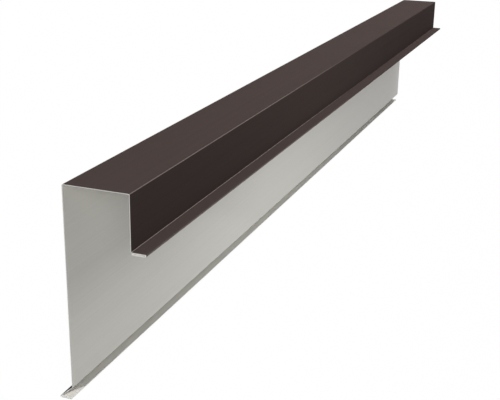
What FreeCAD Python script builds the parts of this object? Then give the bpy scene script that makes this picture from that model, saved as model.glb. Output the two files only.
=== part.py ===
"""One length of edge trim for a sheet metal roof, folded from a single strip of coated steel.

Fixed in place, its tall leg hangs down outside the board at the roof's edge, its top covers
the board, its front leg comes down inside to the roof sheets and its lip lies on them.
A drip at the foot of the tall leg throws water clear of the board. Here the length lies
unheld on its tall leg: +X runs along it, +Z is up, and the origin is on the floor under
the middle of its bounding box. All sizes are in millimetres and degrees.
"""

import FreeCAD, Part
import math
import os
from collections import namedtuple

# The strip
length = 1000.0
sheet = 0.5
bend_radius = 0.5  # inside the plain bends

# The legs, each between the sharp corners of its coated face
front_leg = 40.0
top_width = 50.0
tall_leg = 151.0

# The lip, from the front leg's coated face to its rounded edge, and the open hem under it
lip_width = 11.0
hem_gap = 1.0
hem_return = 10.0

# The drip kicks out from the tall leg, and its edge is folded back level with the top
kick_width = 15.0
kick_angle = 49.0
drip_radius = 0.3  # inside its fold
drip_return = 10.3

right_angle = 90.0
half_turn = 180.0

# A bend turns to the left where its degrees are above zero, and its radius is the inside one
Bend = namedtuple("Bend", "name degrees radius")


def unit(degrees):
    """A direction in the section's plane, turned from +Y toward +Z."""
    angle = math.radians(degrees)
    return FreeCAD.Vector(0, math.cos(angle), math.sin(angle))


def setback(degrees, face_radius):
    """How far a bend takes a face back from its sharp corner."""
    return face_radius * math.tan(math.radians(degrees) / 2)


def strip():
    """The strip's flats, as lengths, and bends in order, from under the lip to the drip.

    The coated face is on the right of the way along the strip, so it is the outer face
    of a left bend and the inner face of a right one.
    """
    drip_angle = right_angle + kick_angle
    hem_radius = hem_gap / 2
    outer = setback(right_angle, bend_radius + sheet)
    inner = setback(right_angle, bend_radius)
    kick = setback(kick_angle, bend_radius)
    drip = setback(drip_angle, drip_radius + sheet)
    return [
        hem_return,
        Bend("hem", half_turn, hem_radius),
        lip_width - hem_radius - sheet - inner,
        Bend("lip", -right_angle, bend_radius),
        front_leg - inner - outer,
        Bend("front", right_angle, bend_radius),
        top_width - 2 * outer,
        Bend("back", right_angle, bend_radius),
        tall_leg - outer - kick,
        Bend("kick", -kick_angle, bend_radius),
        kick_width - kick - drip,
        Bend("drip", drip_angle, drip_radius),
        drip_return - drip,
    ]


def face_of(pieces, depth):
    """One face of the strip, as deep as given under its coated face.

    Gives its edges in order, and the centre of each bend by name.
    """
    here, heading = FreeCAD.Vector(), 0.0
    edges, centres = [], {}
    for piece in pieces:
        left = unit(heading + right_angle)
        if isinstance(piece, Bend):
            reach = piece.radius + sheet if piece.degrees > 0 else -piece.radius
            centre = here + left * reach
            spokes = [unit(heading + right_angle + piece.degrees * share) for share in (0, 0.5, 1)]
            arc = Part.Arc(*[centre - spoke * (reach - depth) for spoke in spokes])
            edges.append(arc.toShape())
            centres[piece.name] = centre
            here = centre - spokes[-1] * reach
            heading += piece.degrees
        else:
            ahead = here + unit(heading) * piece
            edges.append(Part.makeLine(here + left * depth, ahead + left * depth))
            here = ahead
    return edges, centres


def resting_lean(centres):
    """How far the tall leg leans while it lies on its back bend and its drip, in degrees."""
    between = centres["back"] - centres["drip"]
    kicked_out = math.atan2(between.y, between.z)
    rounder = math.asin((drip_radius - bend_radius) / between.Length)
    return math.degrees(kicked_out + rounder)


def edge_trim():
    """The whole trim as one solid, laid on its tall leg."""
    pieces = strip()
    coated, centres = face_of(pieces, 0.0)
    bare, _ = face_of(pieces, sheet)
    hem_cut = Part.makeLine(coated[0].Vertexes[0].Point, bare[0].Vertexes[0].Point)
    drip_cut = Part.makeLine(coated[-1].Vertexes[-1].Point, bare[-1].Vertexes[-1].Point)
    section = Part.Face(Part.Wire(coated + [drip_cut] + bare[::-1] + [hem_cut]))
    along_x = FreeCAD.Vector(length, 0, 0)
    trim = section.extrude(along_x)
    trim.rotate(FreeCAD.Vector(), along_x, right_angle + resting_lean(centres))
    box = trim.optimalBoundingBox(False, False)
    trim.translate(FreeCAD.Vector(-box.Center.x, -box.Center.y, -box.ZMin))
    return trim


trim = edge_trim()
os.makedirs("parts", exist_ok=True)
trim.exportStep("parts/edge_trim.step")
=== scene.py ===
"""The looks of the roof edge trim: one strip of coated sheet steel, folded and lying on its tall leg.

The strip has a dark brown coat on its weather side, a pale grey coat on its back and bright
cut edges. Everything is in metres, in the same frame as the solid.
"""

import math
from collections import namedtuple

import bpy
from mathutils import Matrix, Vector

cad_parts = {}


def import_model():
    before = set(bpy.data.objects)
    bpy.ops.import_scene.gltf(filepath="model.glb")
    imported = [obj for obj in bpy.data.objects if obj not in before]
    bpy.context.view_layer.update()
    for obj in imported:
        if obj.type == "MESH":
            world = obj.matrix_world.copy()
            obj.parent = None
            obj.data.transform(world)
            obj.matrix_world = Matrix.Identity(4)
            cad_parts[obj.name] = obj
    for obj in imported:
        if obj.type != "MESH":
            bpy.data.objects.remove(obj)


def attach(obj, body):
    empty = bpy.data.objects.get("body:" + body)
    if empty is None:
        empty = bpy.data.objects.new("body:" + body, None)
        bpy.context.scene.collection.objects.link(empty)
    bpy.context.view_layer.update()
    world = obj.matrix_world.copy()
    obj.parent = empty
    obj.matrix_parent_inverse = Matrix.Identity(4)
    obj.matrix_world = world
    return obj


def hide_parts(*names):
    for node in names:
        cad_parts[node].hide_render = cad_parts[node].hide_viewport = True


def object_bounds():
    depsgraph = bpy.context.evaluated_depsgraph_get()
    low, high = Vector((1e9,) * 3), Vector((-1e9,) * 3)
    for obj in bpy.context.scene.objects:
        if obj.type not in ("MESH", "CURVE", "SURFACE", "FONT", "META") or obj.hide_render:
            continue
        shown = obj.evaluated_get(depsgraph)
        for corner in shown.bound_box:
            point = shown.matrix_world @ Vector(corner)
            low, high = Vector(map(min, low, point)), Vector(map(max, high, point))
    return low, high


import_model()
solid_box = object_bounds()

mm = 0.001

# The strip, with the sizes of the solid
sheet = 0.5 * mm
bend_radius = 0.5 * mm
front_leg = 40.0 * mm
top_width = 50.0 * mm
tall_leg = 151.0 * mm
lip_width = 11.0 * mm
hem_gap = 1.0 * mm
hem_return = 10.0 * mm
kick_width = 15.0 * mm
kick_angle = 49.0
drip_radius = 0.3 * mm
drip_return = 10.3 * mm
right_angle = 90.0
half_turn = 180.0

# How finely the bends are drawn, and how much the cut edges are eased
steps_per_right_angle = 14
edge_easing = 0.05 * mm
easing_steps = 2
eased_from = 60.0  # the least turn between two faces whose edge is eased, in degrees
same_point = 0.001 * mm  # points nearer than this are joined

# A higher power makes the pale line on a bend, a painted highlight with the coat's stretch, narrower
line_narrowness = 8

# A coat of paint: its darkest and lightest colour, its colour on the folds, a painted highlight with
# the stretch, how much of that shows, the rollers' line width, its gloss, and the values of its skin
Coat = namedtuple("Coat", "name darker lighter stretched stretch_share line_width gloss skin")
brown_coat = Coat(
    name="dark brown coat",
    darker=(0.0388, 0.0286, 0.0259),
    lighter=(0.048, 0.0356, 0.0324),
    # Pale colour on the folds: a painted highlight, with the coat's stretch
    stretched=(0.3, 0.263, 0.238),
    stretch_share=1.0,
    line_width=1.5 * mm,
    gloss=0.0015,
    skin={"Roughness": 0.6, "Roughness spread": 0.12},
)
grey_coat = Coat(
    name="pale grey back coat",
    darker=(0.605, 0.594, 0.553),
    lighter=(0.685, 0.674, 0.633),
    # Pale colour on the bends: a painted highlight, with the coat's stretch
    stretched=(0.8, 0.8, 0.77),
    stretch_share=0.5,
    line_width=1.0 * mm,
    gloss=0.03,
    skin={"Ripple size": 2.4 * mm, "Grain share": 0.3, "Roughness": 0.3, "Roughness spread": 0.1},
)
skin_depth = 0.006 * mm

# The cut edges
steel_darker = (0.38, 0.38, 0.365)
steel_lighter = (0.55, 0.55, 0.53)
steel_roughness = 0.25
steel_roughness_spread = 0.3
shear_mark_width = 0.05 * mm
shear_mark_depth = 0.01 * mm

# The camera, which is turned on its side so that the trim looks upright, as it is fixed
camera_place = Vector((1.00759, -0.29836, 0.31406))
camera_looks = Vector((-0.88029, 0.35267, -0.31734))
camera_up = Vector((-0.30406, -0.93284, -0.19326))
camera_lens = 68.95
camera_sensor = 36.0
camera_nearest = 0.01

# The stage
floor_reach = 6.0
floor_pale = 0.8
floor_white_share = 0.995  # what the camera sees as white, the rest being the lit floor
fill_level = 0.2

Bend = namedtuple("Bend", "name degrees radius")


def unit(degrees):
    """A direction in the section's plane, turned from +Y toward +Z."""
    angle = math.radians(degrees)
    return Vector((0, math.cos(angle), math.sin(angle)))


def setback(degrees, face_radius):
    """How far a bend takes a face back from its sharp corner."""
    return face_radius * math.tan(math.radians(degrees) / 2)


def strip():
    """The strip's flats, as lengths, and bends in order, from under the lip to the drip."""
    drip_angle = right_angle + kick_angle
    hem_radius = hem_gap / 2
    outer = setback(right_angle, bend_radius + sheet)
    inner = setback(right_angle, bend_radius)
    kick = setback(kick_angle, bend_radius)
    drip = setback(drip_angle, drip_radius + sheet)
    return [
        hem_return,
        Bend("hem", half_turn, hem_radius),
        lip_width - hem_radius - sheet - inner,
        Bend("lip", -right_angle, bend_radius),
        front_leg - inner - outer,
        Bend("front", right_angle, bend_radius),
        top_width - 2 * outer,
        Bend("back", right_angle, bend_radius),
        tall_leg - outer - kick,
        Bend("kick", -kick_angle, bend_radius),
        kick_width - kick - drip,
        Bend("drip", drip_angle, drip_radius),
        drip_return - drip,
    ]


def coated_line(pieces):
    """The coated face in the section, as points in order.

    Gives the points, the way in through the sheet at each, how much each is bent, narrowed to the
    line of painted highlight on the folds, from 0 on a flat to 1 at the middle of the tightest
    bend, and the centre of each bend by name.
    """
    here, heading = Vector(), 0.0
    points, inward, bent, centres = [here], [unit(right_angle)], [0.0], {}
    for piece in pieces:
        left = unit(heading + right_angle)
        if isinstance(piece, Bend):
            reach = piece.radius + sheet if piece.degrees > 0 else -piece.radius
            centre = here + left * reach
            steps = round(steps_per_right_angle * abs(piece.degrees) / right_angle)
            for step in range(1, steps + 1):
                share = step / steps
                spoke = unit(heading + right_angle + piece.degrees * share)
                points.append(centre - spoke * reach)
                inward.append(spoke)
                tightness = bend_radius / abs(reach)
                # A narrow peak, for the thin line of painted highlight on each fold
                bent.append(math.sin(math.pi * share) ** line_narrowness * tightness)
            centres[piece.name] = centre
            here = points[-1]
            heading += piece.degrees
        else:
            here = here + unit(heading) * piece
            points.append(here)
            inward.append(left)
            bent.append(0.0)
    return points, inward, bent, centres


def resting_lean(centres):
    """How far the tall leg leans while it lies on its back bend and its drip, in radians."""
    between = centres["back"] - centres["drip"]
    kicked_out = math.atan2(between.y, between.z)
    return kicked_out + math.asin((drip_radius - bend_radius) / between.length)


def section_mesh():
    """The coated face's line, laid as the trim lies, at the end of the trim that is at -X."""
    points, inward, bent, centres = coated_line(strip())
    turn = Matrix.Rotation(math.radians(right_angle) + resting_lean(centres), 3, "X")
    laid = [turn @ point for point in points]
    low, high = solid_box
    middle = (min(p.y for p in laid) + max(p.y for p in laid)) / 2
    lowest = min(p.z for p in laid)
    move = Vector((low.x, (low.y + high.y) / 2 - middle, low.z - lowest))
    mesh = bpy.data.meshes.new("section")
    mesh.from_pydata([p + move for p in laid], [(i, i + 1) for i in range(len(laid) - 1)], [])
    ways = mesh.attributes.new("inward", "FLOAT_VECTOR", "POINT")
    ways.data.foreach_set("vector", [x for way in inward for x in turn @ way])
    amounts = mesh.attributes.new("bent", "FLOAT", "POINT")
    amounts.data.foreach_set("value", bent)
    return mesh


def add(tree, kind, inputs=None, **settings):
    """A node with its settings, and its inputs as values or as other nodes' outputs."""
    node = tree.nodes.new(kind)
    for name, value in settings.items():
        setattr(node, name, value)
    for name, value in (inputs or {}).items():
        if isinstance(value, bpy.types.NodeSocket):
            tree.links.new(value, node.inputs[name])
        else:
            node.inputs[name].default_value = value
    return node


def folded_strip_tree():
    """Geometry nodes that draw the coated line out along the trim and give the sheet its thickness."""
    tree = bpy.data.node_groups.new("Folded strip", "GeometryNodeTree")
    sockets = tree.interface
    sockets.new_socket("Section", in_out="INPUT", socket_type="NodeSocketGeometry")
    sockets.new_socket("Length", in_out="INPUT", socket_type="NodeSocketFloat")
    sockets.new_socket("Sheet", in_out="INPUT", socket_type="NodeSocketFloat")
    sockets.new_socket("Coat", in_out="INPUT", socket_type="NodeSocketMaterial")
    sockets.new_socket("Back coat", in_out="INPUT", socket_type="NodeSocketMaterial")
    sockets.new_socket("Cut edge", in_out="INPUT", socket_type="NodeSocketMaterial")
    sockets.new_socket("Strip", in_out="OUTPUT", socket_type="NodeSocketGeometry")
    given = tree.nodes.new("NodeGroupInput").outputs
    along = add(tree, "ShaderNodeCombineXYZ", {"X": given["Length"]})
    drawn = add(
        tree,
        "GeometryNodeExtrudeMesh",
        {"Mesh": given["Section"], "Offset": along.outputs["Vector"]},
        mode="EDGES",
    )
    raised = add(
        tree,
        "GeometryNodeExtrudeMesh",
        {"Mesh": drawn.outputs["Mesh"], "Offset Scale": 0.0, "Individual": False},
        mode="FACES",
    )
    inward = add(
        tree, "GeometryNodeInputNamedAttribute", {"Name": "inward"}, data_type="FLOAT_VECTOR"
    )
    through = add(
        tree,
        "ShaderNodeVectorMath",
        {"Vector": inward.outputs["Attribute"], "Scale": given["Sheet"]},
        operation="SCALE",
    )
    thick = add(
        tree,
        "GeometryNodeSetPosition",
        {
            "Geometry": raised.outputs["Mesh"],
            "Selection": raised.outputs["Top"],
            "Offset": through.outputs["Vector"],
        },
    )
    coated = add(tree, "GeometryNodeFlipFaces", {"Mesh": drawn.outputs["Mesh"]})
    joined = tree.nodes.new("GeometryNodeJoinGeometry")
    tree.links.new(thick.outputs["Geometry"], joined.inputs["Geometry"])
    tree.links.new(coated.outputs["Mesh"], joined.inputs["Geometry"])
    closed = add(
        tree,
        "GeometryNodeMergeByDistance",
        {"Geometry": joined.outputs["Geometry"], "Distance": same_point},
    )
    whole = add(
        tree, "GeometryNodeRealizeInstances", {"Geometry": closed.outputs["Geometry"]}
    )
    shown = whole.outputs["Geometry"]
    for name, faces in (
        ("Coat", None),
        ("Back coat", raised.outputs["Top"]),
        ("Cut edge", raised.outputs["Side"]),
    ):
        inputs = {"Geometry": shown, "Material": given[name]}
        if faces:
            inputs["Selection"] = faces
        shown = add(tree, "GeometryNodeSetMaterial", inputs).outputs["Geometry"]
    out = tree.nodes.new("NodeGroupOutput")
    tree.links.new(shown, out.inputs["Strip"])
    return tree


def set_input(modifier, name, value):
    """Sets a geometry nodes modifier's input by its socket's name."""
    items = modifier.node_group.interface.items_tree
    socket = next(i for i in items if i.name == name and i.in_out == "INPUT")
    modifier[socket.identifier] = value


def folded_strip(coat, back_coat, cut_edge):
    """The whole strip as one mesh."""
    maker = bpy.data.objects.new("strip maker", section_mesh())
    bpy.context.scene.collection.objects.link(maker)
    nodes = maker.modifiers.new("Folded strip", "NODES")
    nodes.node_group = folded_strip_tree()
    low, high = solid_box
    set_input(nodes, "Length", high.x - low.x)
    set_input(nodes, "Sheet", sheet)
    set_input(nodes, "Coat", coat)
    set_input(nodes, "Back coat", back_coat)
    set_input(nodes, "Cut edge", cut_edge)
    easing = maker.modifiers.new("Eased edges", "BEVEL")
    easing.width = edge_easing
    easing.segments = easing_steps
    easing.limit_method = "ANGLE"
    easing.angle_limit = math.radians(eased_from)
    flats = maker.modifiers.new("Flat shading of the flats", "WEIGHTED_NORMAL")
    flats.keep_sharp = True
    shown = maker.evaluated_get(bpy.context.evaluated_depsgraph_get())
    mesh = bpy.data.meshes.new_from_object(shown)
    mesh.name = "edge_trim_sheet"
    strip_object = bpy.data.objects.new("edge_trim_sheet", mesh)
    bpy.context.scene.collection.objects.link(strip_object)
    bpy.data.objects.remove(maker)
    return strip_object


def group(name, inputs, outputs):
    """A shader node group with those inputs, as (name, kind, value), and outputs, as (name, kind)."""
    tree = bpy.data.node_groups.new(name, "ShaderNodeTree")
    for title, kind, value in inputs:
        socket = tree.interface.new_socket(title, in_out="INPUT", socket_type=kind)
        if value is not None:
            socket.default_value = value
    for title, kind in outputs:
        tree.interface.new_socket(title, in_out="OUTPUT", socket_type=kind)
    given = tree.nodes.new("NodeGroupInput").outputs
    return tree, given


def hand_out(tree, results):
    """Links a group's results to its outputs by name."""
    out = tree.nodes.new("NodeGroupOutput")
    for title, socket in results.items():
        tree.links.new(socket, out.inputs[title])


def math_node(tree, operation, *values, clamp=False):
    """The result of one sum on numbers and sockets."""
    inputs = dict(enumerate(values))
    return add(tree, "ShaderNodeMath", inputs, operation=operation, use_clamp=clamp).outputs[0]


def noise(tree, place, size, detail=2.0):
    """Noise from 0 to 1 whose blots are about that size in metres."""
    scale = math_node(tree, "DIVIDE", 1.0, size)
    made = add(
        tree, "ShaderNodeTexNoise", {"Vector": place, "Scale": scale, "Detail": detail}
    )
    return made.outputs["Fac"]


def coat_skin_group():
    """The skin that a roller leaves on coil coated steel: flat ripples with a fine grain on them."""
    tree, given = group(
        "Coat skin",
        [
            ("Place", "NodeSocketVector", None),
            ("Ripple size", "NodeSocketFloat", 1.6 * mm),
            ("Grain size", "NodeSocketFloat", 0.12 * mm),
            ("Grain share", "NodeSocketFloat", 0.2),
            ("Patch size", "NodeSocketFloat", 45 * mm),
            ("Roughness", "NodeSocketFloat", 0.5),
            ("Roughness spread", "NodeSocketFloat", 0.1),
        ],
        [("Height", "NodeSocketFloat"), ("Roughness", "NodeSocketFloat")],
    )
    ripples = noise(tree, given["Place"], given["Ripple size"])
    grain = noise(tree, given["Place"], given["Grain size"])
    height = math_node(tree, "MULTIPLY_ADD", grain, given["Grain share"], ripples)
    patches = noise(tree, given["Place"], given["Patch size"], detail=4.0)
    off_middle = math_node(tree, "SUBTRACT", patches, 0.5)
    rough = math_node(
        tree, "MULTIPLY_ADD", off_middle, given["Roughness spread"], given["Roughness"]
    )
    hand_out(tree, {"Height": height, "Roughness": rough})
    return tree


def rolling_lines_group():
    """Faint lines along the strip, from the rollers: 0 to 1."""
    tree, given = group(
        "Rolling lines",
        [
            ("Place", "NodeSocketVector", None),
            ("Line width", "NodeSocketFloat", 0.8 * mm),
            ("Drawn out", "NodeSocketFloat", 300.0),
        ],
        [("Lines", "NodeSocketFloat")],
    )
    parts = add(tree, "ShaderNodeSeparateXYZ", {"Vector": given["Place"]})
    along = math_node(tree, "DIVIDE", parts.outputs["X"], given["Drawn out"])
    flat = add(
        tree,
        "ShaderNodeCombineXYZ",
        {"X": along, "Y": parts.outputs["Y"], "Z": parts.outputs["Z"]},
    )
    lines = noise(tree, flat.outputs["Vector"], given["Line width"], detail=3.0)
    hand_out(tree, {"Lines": lines})
    return tree


def stretch_and_highlight_group():
    """How pale a coat is along a fold: a painted highlight for the fold's gloss, with the coat's
    stretch.

    It is a little uneven along the fold, and the painted highlight fades out toward the -X end.
    """
    tree, given = group(
        "Stretch and painted highlight",
        [
            ("Place", "NodeSocketVector", None),
            ("Bent", "NodeSocketFloat", 0.0),
            ("Share", "NodeSocketFloat", 1.0),
            ("Blot size", "NodeSocketFloat", 6 * mm),
            ("Unevenness", "NodeSocketFloat", 0.3),
            ("Highlight gone up to", "NodeSocketFloat", -0.1),
            ("Highlight full from", "NodeSocketFloat", 0.25),
        ],
        [("Stretch", "NodeSocketFloat")],
    )
    blots = noise(tree, given["Place"], given["Blot size"], detail=3.0)
    loss = math_node(tree, "MULTIPLY", blots, given["Unevenness"])
    kept = math_node(tree, "SUBTRACT", 1.0, loss)
    along = add(tree, "ShaderNodeSeparateXYZ", {"Vector": given["Place"]}).outputs["X"]
    # The painted highlight is full over the +X part of the trim and fades out toward -X
    highlight_reach = add(
        tree,
        "ShaderNodeMapRange",
        {"Value": along, "From Min": given["Highlight gone up to"], "From Max": given["Highlight full from"]},
        interpolation_type="SMOOTHSTEP",
    )
    most = math_node(tree, "MULTIPLY", given["Bent"], given["Share"])
    even = math_node(tree, "MULTIPLY", most, highlight_reach.outputs["Result"])
    pale_fold_line = math_node(tree, "MULTIPLY", even, kept, clamp=True)
    hand_out(tree, {"Stretch": pale_fold_line})
    return tree


def place_group(tree, made, values):
    """A node group with its values, in a material. Gives its outputs."""
    return add(tree, "ShaderNodeGroup", values, node_tree=made).outputs


def mixed_colour(tree, share, first, second):
    """A colour between two, each a socket or (red, green, blue)."""
    first_input, second_input, result = 6, 7, 2  # where a mix node has its colours
    inputs = {"Factor": share}
    for place, colour in ((first_input, first), (second_input, second)):
        inputs[place] = (*colour, 1.0) if isinstance(colour, tuple) else colour
    return add(tree, "ShaderNodeMix", inputs, data_type="RGBA").outputs[result]


def new_material(name):
    """An empty finish, with its shader, its tree and the place on the part that it reads."""
    material = bpy.data.materials.new(name)
    material.use_nodes = True
    tree = material.node_tree
    shader = tree.nodes["Principled BSDF"]
    place = tree.nodes.new("ShaderNodeTexCoord").outputs["Object"]
    return material, tree, shader, place


def bump(tree, shader, height, depth):
    """Gives a shader heights from 0 to 1, as deep as given."""
    bumped = add(
        tree, "ShaderNodeBump", {"Height": height, "Distance": depth, "Strength": 1.0}
    )
    tree.links.new(bumped.outputs["Normal"], shader.inputs["Normal"])


def coat_material(coat, skin, lines, stretched):
    """A coat of paint with a roller's skin and lines in it, and paler along the folds: a painted
    highlight with the coat's stretch.
    """
    material, tree, shader, place = new_material(coat.name)
    bent = add(tree, "ShaderNodeAttribute", attribute_name="bent").outputs["Fac"]
    surface = place_group(tree, skin, {"Place": place, **coat.skin})
    streaks = place_group(tree, lines, {"Place": place, "Line width": coat.line_width})
    folds = place_group(
        tree, stretched, {"Place": place, "Bent": bent, "Share": coat.stretch_share}
    )
    plain = mixed_colour(tree, streaks["Lines"], coat.darker, coat.lighter)
    # Paler along the folds: painted highlight, with the coat's stretch
    colour = mixed_colour(tree, folds["Stretch"], plain, coat.stretched)
    tree.links.new(colour, shader.inputs["Base Color"])
    tree.links.new(surface["Roughness"], shader.inputs["Roughness"])
    shader.inputs["Specular IOR Level"].default_value = coat.gloss
    bump(tree, shader, surface["Height"], skin_depth)
    return material


def cut_edge_material(lines):
    """The sheared edges: bright steel and zinc, with the shear's marks."""
    material, tree, shader, place = new_material("bright cut edge")
    marks = place_group(
        tree, lines, {"Place": place, "Line width": shear_mark_width, "Drawn out": 1.0}
    )["Lines"]
    colour = mixed_colour(tree, marks, steel_darker, steel_lighter)
    tree.links.new(colour, shader.inputs["Base Color"])
    rough = math_node(tree, "MULTIPLY_ADD", marks, steel_roughness_spread, steel_roughness)
    tree.links.new(rough, shader.inputs["Roughness"])
    shader.inputs["Metallic"].default_value = 1.0
    bump(tree, shader, marks, shear_mark_depth)
    return material


def camera():
    """The camera of the photograph's view."""
    data = bpy.data.cameras.new("camera")
    data.sensor_width = camera_sensor
    data.lens = camera_lens
    data.clip_start = camera_nearest
    back = -camera_looks.normalized()
    right = camera_up.cross(back).normalized()
    up = back.cross(right)
    turned = Matrix((right, up, back)).transposed().to_4x4()
    made = bpy.data.objects.new("camera", data)
    made.matrix_world = Matrix.Translation(camera_place) @ turned
    bpy.context.scene.collection.objects.link(made)
    bpy.context.scene.camera = made


def seen_plainly(tree):
    """1 for a ray from the camera, or one that a gloss or a glass sends on, and 0 for light."""
    rays = add(tree, "ShaderNodeLightPath").outputs
    gloss = math_node(tree, "MAXIMUM", rays["Is Glossy Ray"], rays["Is Transmission Ray"])
    return math_node(tree, "MAXIMUM", rays["Is Camera Ray"], gloss)


def floor():
    """A plain pale floor that looks white and keeps the trim's shadow."""
    mesh = bpy.data.meshes.new("floor")
    square = (-1, -1), (1, -1), (1, 1), (-1, 1)
    corners = [(x * floor_reach, y * floor_reach, 0.0) for x, y in square]
    mesh.from_pydata(corners, [], [(0, 1, 2, 3)])
    made = bpy.data.objects.new("floor", mesh)
    bpy.context.scene.collection.objects.link(made)
    material = bpy.data.materials.new("floor")
    material.use_nodes = True
    tree = material.node_tree
    tree.nodes.clear()
    lit = add(tree, "ShaderNodeBsdfDiffuse", {"Color": (floor_pale, floor_pale, floor_pale, 1.0)})
    white = add(tree, "ShaderNodeEmission", {"Color": (1.0, 1.0, 1.0, 1.0), "Strength": 1.0})
    share = math_node(tree, "MULTIPLY", seen_plainly(tree), floor_white_share)
    mixed = add(
        tree, "ShaderNodeMixShader", {0: share, 1: lit.outputs[0], 2: white.outputs[0]}
    )
    add(tree, "ShaderNodeOutputMaterial", {"Surface": mixed.outputs[0]})
    mesh.materials.append(material)


def world():
    """Soft light from all round, which the camera and the gloss see as white."""
    made = bpy.data.worlds.new("studio")
    bpy.context.scene.world = made
    made.use_nodes = True
    tree = made.node_tree
    tree.nodes.clear()
    light = add(tree, "ShaderNodeBackground", {"Color": (1, 1, 1, 1), "Strength": fill_level})
    white = add(tree, "ShaderNodeBackground", {"Color": (1, 1, 1, 1), "Strength": 1.0})
    mixed = add(
        tree,
        "ShaderNodeMixShader",
        {0: seen_plainly(tree), 1: light.outputs[0], 2: white.outputs[0]},
    )
    add(tree, "ShaderNodeOutputWorld", {"Surface": mixed.outputs[0]})


def soft_box(name, place, aim, size, level):
    """A soft box that gives a white surface facing it, at the point it aims at, that level of light."""
    place, aim = Vector(place), Vector(aim)
    data = bpy.data.lights.new(name, "AREA")
    data.shape = "RECTANGLE"
    data.size, data.size_y = size
    data.energy = level * math.pi**2 * (place - aim).length_squared
    made = bpy.data.objects.new(name, data)
    made.location = place
    made.rotation_euler = (aim - place).to_track_quat("-Z", "Y").to_euler()
    made.visible_camera = False
    bpy.context.scene.collection.objects.link(made)


skin, lines, stretched = coat_skin_group(), rolling_lines_group(), stretch_and_highlight_group()
trim = folded_strip(
    coat_material(brown_coat, skin, lines, stretched),
    coat_material(grey_coat, skin, lines, stretched),
    cut_edge_material(lines),
)
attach(trim, "root")
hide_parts("edge_trim")

bpy.context.scene.view_settings.view_transform = "Standard"
camera()
floor()
world()
soft_box("key", place=(11.5, -4.7, 0.15), aim=(0, 0, 0.03), size=(0.5, 0.24), level=1.176)
soft_box("near end", place=(1.8, -0.64, 0.8), aim=(0.2, 0, 0), size=(0.6, 0.6), level=0.188)
soft_box("far end", place=(-0.65, -0.8, 0.08), aim=(-0.4, 0, 0), size=(0.4, 0.3), level=0.44)
soft_box("top side", place=(-0.5, -2.5, 0.4), aim=(0, 0, 0), size=(1.5, 0.9), level=0.56)
soft_box("high on the top side", place=(0, -1.5, 1.5), aim=(0, 0, 0), size=(1.2, 1.2), level=0.245)
soft_box("overhead", place=(0.1, 0, 0.35), aim=(0.1, 0, 0), size=(0.25, 0.25), level=0.264)
soft_box("drip side", place=(0.3, 2.5, 0.8), aim=(0, 0, 0), size=(1.5, 1.0), level=0.4)
